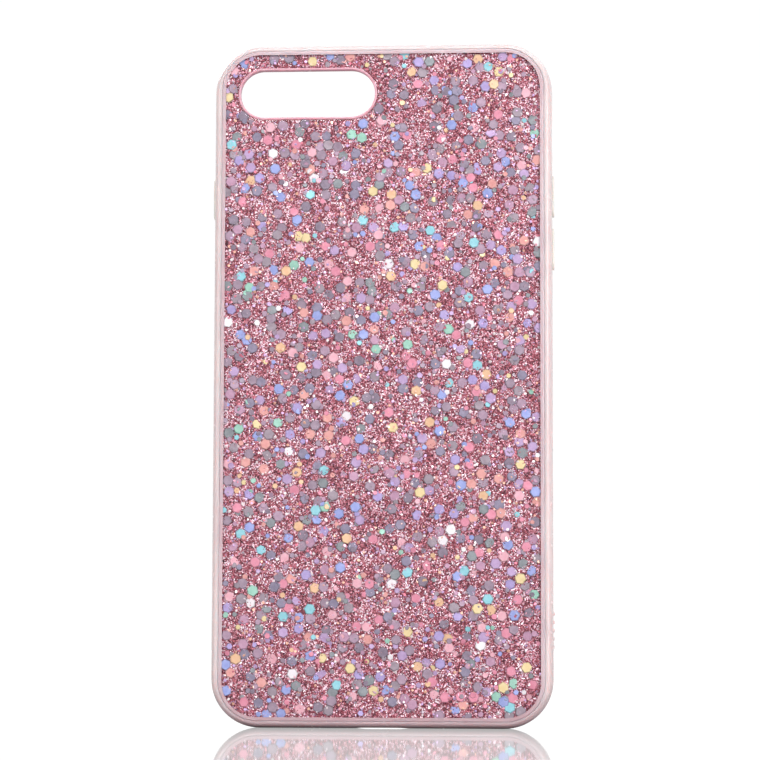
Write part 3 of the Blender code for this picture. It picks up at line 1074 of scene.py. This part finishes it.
def scatter_nodes(name, sides, finishes):
    """Scatters thin prisms over a face. Each takes a random number, which picks one of the finishes."""
    group, tree, given = new_nodes(name, {
        "Spacing": 0.0, "Density": 0.0, "Smallest": 0.0, "Largest": 0.0, "Tilt": 0.0, "Depth": 0.0,
        "Clumping": 0.0, "Seed": 0,
    })
    seed = given.of("Seed")

    def random(low, high, offset):
        return tree.add("FunctionNodeRandomValue", {"data_type": "FLOAT"}, {
            2: low, 3: high, "Seed": seed + offset,
        }, output=1)

    points = tree.add("GeometryNodeDistributePointsOnFaces", {"distribute_method": "POISSON"}, {
        "Mesh": given.of("Geometry"), "Distance Min": given.of("Spacing"),
        "Density Max": given.of("Density"), "Seed": seed,
    }, output="Points")
    lean = tree.add("ShaderNodeCombineXYZ", inputs={
        0: random(-1.0, 1.0, 1) * given.of("Tilt"),
        1: random(-1.0, 1.0, 2) * given.of("Tilt"),
        2: random(0.0, FULL_TURN, 3),
    })
    leaning = tree.add("FunctionNodeEulerToRotation", inputs={0: lean})
    turned = tree.add("FunctionNodeRotateRotation", {"rotation_space": "LOCAL"}, {
        0: points.of("Rotation"), 1: leaning,
    })
    out = tree.add("ShaderNodeVectorMath", {"operation": "SCALE"}, {
        0: points.of("Normal"), "Scale": random(0.0, 1.0, 4) * given.of("Depth"),
    })
    lifted = tree.add("GeometryNodeSetPosition", inputs={"Geometry": points, "Offset": out})
    shape = tree.add("GeometryNodeMeshCone", {"fill_type": "NGON"}, {
        "Vertices": sides, "Radius Top": FOIL_FACE, "Radius Bottom": 1.0, "Depth": FOIL_THICKNESS,
    })
    # The sloping side faces are marked, so that the foil can paint shade on them.
    rim_marked_for_shade = tree.add("GeometryNodeStoreNamedAttribute", {"data_type": "FLOAT", "domain": "FACE"}, {
        "Geometry": shape, "Name": "rim", "Value": shape.of("Side"),
    })
    radius = random(given.of("Smallest"), given.of("Largest"), 5)
    placed = tree.add("GeometryNodeInstanceOnPoints", inputs={
        "Points": lifted, "Instance": rim_marked_for_shade, "Rotation": turned,
        "Scale": tree.add("ShaderNodeCombineXYZ", inputs={0: radius, 1: radius, 2: 1.0}),
    })
    clump = tree.add("ShaderNodeTexNoise", inputs={
        "Vector": tree.add("GeometryNodeInputPosition"), "Scale": CLUMPS_PER_MM * PER_MM, "Detail": 1.0,
    }, output=0)
    tone = random(0.0, 1.0, 6) + given.of("Clumping") * (clump - 0.5)
    marked = tree.add("GeometryNodeStoreNamedAttribute", {"data_type": "FLOAT", "domain": "INSTANCE"}, {
        "Geometry": placed, "Name": "tone", "Value": tone,
    })
    made = tree.add("GeometryNodeRealizeInstances", inputs={0: marked})
    tone = tree.add("GeometryNodeInputNamedAttribute", {"data_type": "FLOAT"}, {"Name": "tone"})
    for number, finish in enumerate(finishes):
        lowest = number / len(finishes) if number else -1.0
        made = tree.add("GeometryNodeSetMaterial", inputs={
            "Geometry": made, "Selection": tone > lowest, "Material": finish,
        })
    tree.add("NodeGroupOutput", inputs={0: made})
    return group


# %% [markdown]
# ## Sequin foil
# All sequins share one kind of finish. The random number that each one carries picks its colour from a
# ramp with hard steps, and the width of a step is the share of sequins with that colour. A faint noise
# lightens and darkens the foil, as its fine rulings do, and varies how sharp its gloss is.

# %% Sequin foil
SEQUIN_DYES = (
    (0.11, (164, 144, 162)),
    (0.09, (148, 140, 164)),
    (0.08, (162, 148, 160)),
    (0.07, (144, 130, 148)),
    (0.06, (180, 152, 174)),
    (0.05, (146, 152, 158)),
    (0.06, (193, 151, 178)),
    (0.07, (229, 149, 172)),
    (0.05, (237, 181, 195)),
    (0.05, (232, 168, 164)),
    (0.03, (239, 197, 160)),
    (0.03, (239, 218, 168)),
    (0.06, (192, 164, 206)),
    (0.04, (180, 164, 216)),
    (0.06, (160, 172, 228)),
    (0.03, (153, 214, 227)),
    (0.02, (160, 208, 192)),
    (0.02, (246, 240, 246)),
)
# Share of the foil's colour left on the rim: painted shade for the gaps round each sequin.
PAINTED_RIM_SHADE = 0.62


def dye_stops(dyes):
    place = 0.0
    total = sum(share for share, _ in dyes)
    for share, colour in dyes:
        yield place / total, paint(*colour)
        place += share


def sequin_foil(name, metallic, gloss):
    finish, tree = new_finish(name)
    tone = tree.add("ShaderNodeAttribute", {"attribute_name": "tone"}, output="Fac")
    dye = tree.add("ShaderNodeValToRGB", {
        "interpolation": "CONSTANT", "stops": list(dye_stops(SEQUIN_DYES)),
    }, {0: tone})
    rulings = cloud(tree, 0.9, 3.0)
    light = tree.add("ShaderNodeMix", {"data_type": "RGBA", "blend_type": "SOFT_LIGHT"}, {
        0: 0.5, 6: dye, 7: tree.add("ShaderNodeValToRGB", {}, {0: rulings}),
    }, output=2)
    # Painted shade: the rim's faces are multiplied darker, standing in for the shadow gaps round each
    # sequin.
    rim = tree.add("ShaderNodeAttribute", {"attribute_name": "rim"}, output="Fac")
    rim_painted_shade = tree.add("ShaderNodeMix", {"data_type": "RGBA", "blend_type": "MULTIPLY"}, {
        0: rim, 6: light, 7: grey(PAINTED_RIM_SHADE),
    }, output=2)
    show(tree, tree.add("ShaderNodeBsdfPrincipled", inputs={
        "Base Color": rim_painted_shade,
        "Metallic": metallic,
        "Roughness": gloss + 0.15 * rulings,
    }))
    return finish


# %% [markdown]
# ## Scattering them
# The sequins are set first, then the small ones, then the flakes. Each kind has its own spacing, size,
# tilt and seed. All of them lie inside the clear resin, just behind its surface.

# %% Scatter the flakes and sequins
PER_SQUARE_MM = 1 / MM**2
FLAKE_FACE = COAT_HIGH.y + 0.02 * MM
GLITTER_MARGIN = 0.1 * MM
WINDOW_MARGIN = 0.25 * MM
ROSE_FLAKES = [
    plain_finish("maroon flake", (102, 34, 56), 0.3, 0.35),
    plain_finish("deep rose flake", (144, 52, 68), 0.3, 0.35),
    plain_finish("rose flake", (174, 76, 92), 0.3, 0.35),
    plain_finish("dusky rose flake", (188, 110, 128), 0.3, 0.35),
    plain_finish("pink flake", (216, 146, 168), 0.3, 0.35),
    plain_finish("lilac flake", (196, 164, 208), 0.3, 0.35),
    plain_finish("pale pink flake", (252, 226, 240), 0.2, 0.35),
]
BRIGHT_FLAKES = [
    plain_finish("pink bit", (240, 170, 188), 0.5, 0.35),
    plain_finish("white bit", (252, 240, 244), 0.5, 0.35),
    plain_finish("lilac bit", (214, 180, 226), 0.5, 0.35),
    plain_finish("peach bit", (244, 190, 166), 0.5, 0.35),
    plain_finish("grey bit", (170, 156, 168), 0.5, 0.35),
    plain_finish("rose bit", (200, 110, 130), 0.5, 0.35),
]
SCATTERS = (
    ("large_sequins", "rose_glitter", 6, [sequin_foil("sequin foil", 0.15, 0.3)], {
        "Spacing": 1.9 * MM, "Density": 0.11 * PER_SQUARE_MM, "Smallest": 1.25 * MM, "Largest": 1.4 * MM,
        "Tilt": math.radians(7), "Depth": 0.22 * MM, "Clumping": 0.0, "Seed": 11,
    }),
    ("small_sequins", "rose_glitter", 6, [sequin_foil("small sequin foil", 0.15, 0.28)], {
        "Spacing": 0.9 * MM, "Density": 0.09 * PER_SQUARE_MM, "Smallest": 0.58 * MM, "Largest": 0.78 * MM,
        "Tilt": math.radians(14), "Depth": 0.26 * MM, "Clumping": 0.0, "Seed": 23,
    }),
    ("glitter_bits", "rose_glitter", 6, BRIGHT_FLAKES, {
        "Spacing": 0.5 * MM, "Density": 0.3 * PER_SQUARE_MM, "Smallest": 0.24 * MM, "Largest": 0.42 * MM,
        "Tilt": math.radians(25), "Depth": 0.2 * MM, "Clumping": 0.5, "Seed": 37,
    }),
    ("rose_flakes", "rose_glitter", 3, ROSE_FLAKES, {
        "Spacing": 0.24 * MM, "Density": 2.6 * PER_SQUARE_MM, "Smallest": 0.16 * MM, "Largest": 0.28 * MM,
        "Tilt": math.radians(32), "Depth": 0.08 * MM, "Clumping": 0.7, "Seed": 41,
    }),
)


def make_scatter(name, slot, sides, finishes, values):
    window_margin = WINDOW_MARGIN + values["Largest"] * 0.5
    piece = region(name, EDGE_BAND + GLITTER_MARGIN, window_margin, FLAKE_FACE)
    grow(piece, scatter_nodes(name, sides, finishes), values)
    print(name, "holds", len(piece.data.polygons) // (sides + 2), "flakes")
    finish_piece(piece, "bumper", slot)


for scatter in SCATTERS:
    make_scatter(*scatter)
